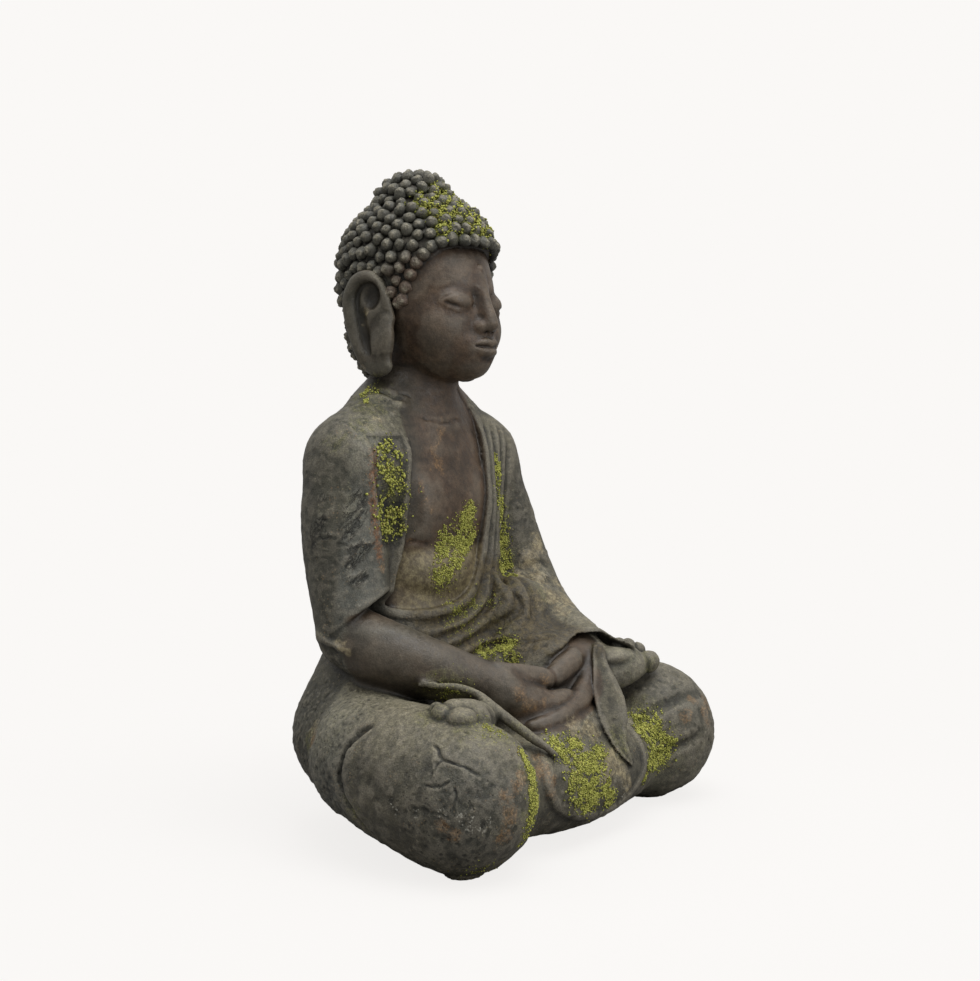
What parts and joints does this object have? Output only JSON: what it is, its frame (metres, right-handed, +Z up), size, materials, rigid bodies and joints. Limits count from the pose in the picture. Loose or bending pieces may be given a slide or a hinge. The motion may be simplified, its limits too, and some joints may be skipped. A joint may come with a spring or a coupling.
{
  "type": "seated buddha garden statue",
  "caption": "Cross-legged meditating figure with knobbed hair, long ears, a draped robe and folded hands, cast in one piece with a flat underside.",
  "frame": {"origin": "centre of the bounding box in plan, on the flat underside", "axes": "+Z up, the figure faces -Y, its right hand side is -X"},
  "size_m": [0.3072, 0.2148, 0.42],
  "materials": {
    "weathered_stone": "matt cast stone, dark grey-brown with a worn reddish sheen on the skin and patches of yellow-green moss"
  },
  "bodies": {
    "root": {"buddha_statue": "weathered_stone"}
  },
  "joints": []
}
